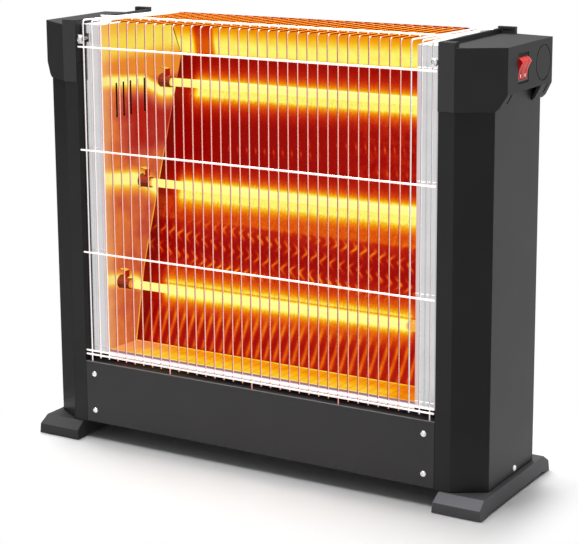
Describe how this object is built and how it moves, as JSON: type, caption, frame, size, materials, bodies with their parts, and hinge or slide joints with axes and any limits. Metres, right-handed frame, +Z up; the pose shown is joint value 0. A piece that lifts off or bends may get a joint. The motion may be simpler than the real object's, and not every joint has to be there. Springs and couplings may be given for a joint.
{
  "type": "quartz tube radiant heater",
  "caption": "Free-standing radiant heater: stacked quartz tubes in a tilted reflector box behind a wire guard, between two columns on sloped feet, with a double rocker switch.",
  "frame": {"origin": "on the floor, under the middle of the object's bounding box", "axes": "+X to the heater's right as seen from the front, +Y to its back (it radiates towards -Y), +Z up"},
  "size_m": [0.5889, 0.1824, 0.4975],
  "materials": {
    "column_paint": "satin moulded plastic, dark grey",
    "sheet_paint": "satin powder coat, dark grey",
    "dark_plastic": "fine-grained moulded plastic, near black",
    "chrome_wire": "bright plated wire",
    "reflector": "polished reflector sheet",
    "bare_steel": "zinc-plated sheet",
    "screw": "bright zinc plate",
    "quartz": "clear quartz, lit",
    "coil": "glowing resistance wire",
    "ceramic": "unglazed steatite",
    "red_rocker": "glossy translucent red",
    "insulation": "silicone and glass-fibre insulation"
  },
  "bodies": {
    "housing": {"foot_left": "dark_plastic", "foot_right": "dark_plastic", "column_left": "column_paint", "column_right": "column_paint", "cap_left": "dark_plastic", "cap_right": "dark_plastic", "reflector_side_left": "reflector", "reflector_side_right": "reflector", "reflector_back": "reflector", "reflector_tray": "reflector", "grille_clip_left": "bare_steel", "grille_clip_right": "bare_steel", "clip_screw_left": "screw", "clip_screw_right": "screw", "column_screw_left": "screw", "column_screw_right": "screw", "panel_screw_1": "screw", "panel_screw_2": "screw", "panel_screw_3": "screw", "panel_screw_4": "screw", "rear_screw_1": "screw", "rear_screw_2": "screw", "rear_screw_3": "screw", "rear_screw_4": "screw", "wire_grille": "chrome_wire", "front_panel": "sheet_paint", "rear_cover": "sheet_paint", "base_pan": "bare_steel", "quartz_tube_1": "quartz", "quartz_tube_2": "quartz", "quartz_tube_3": "quartz", "heating_coil_1": "coil", "heating_coil_2": "coil", "heating_coil_3": "coil", "ceramic_left_1": "ceramic", "ceramic_left_2": "ceramic", "ceramic_left_3": "ceramic", "ceramic_right_1": "ceramic", "ceramic_right_2": "ceramic", "ceramic_right_3": "ceramic", "switch_body": "dark_plastic", "switch_pin": "bare_steel", "terminal_block": "ceramic", "tip_over_switch": "dark_plastic", "thermal_cutout": "ceramic", "cable_gland": "dark_plastic", "loom_left": "insulation", "loom_right": "insulation"},
    "rocker_front": {"rocker_front": "red_rocker"},
    "rocker_rear": {"rocker_rear": "red_rocker"}
  },
  "joints": [
    {"name": "rocker_front_pivot", "type": "hinge", "parent": "housing", "child": "rocker_front", "pos_m": [0.2853, -0.0113, 0.4653], "axis": [0, -1, 0], "range_deg": [0, 30]},
    {"name": "rocker_rear_pivot", "type": "hinge", "parent": "housing", "child": "rocker_rear", "pos_m": [0.2853, -0.0113, 0.4653], "axis": [0, -1, 0], "range_deg": [0, 30]}
  ]
}
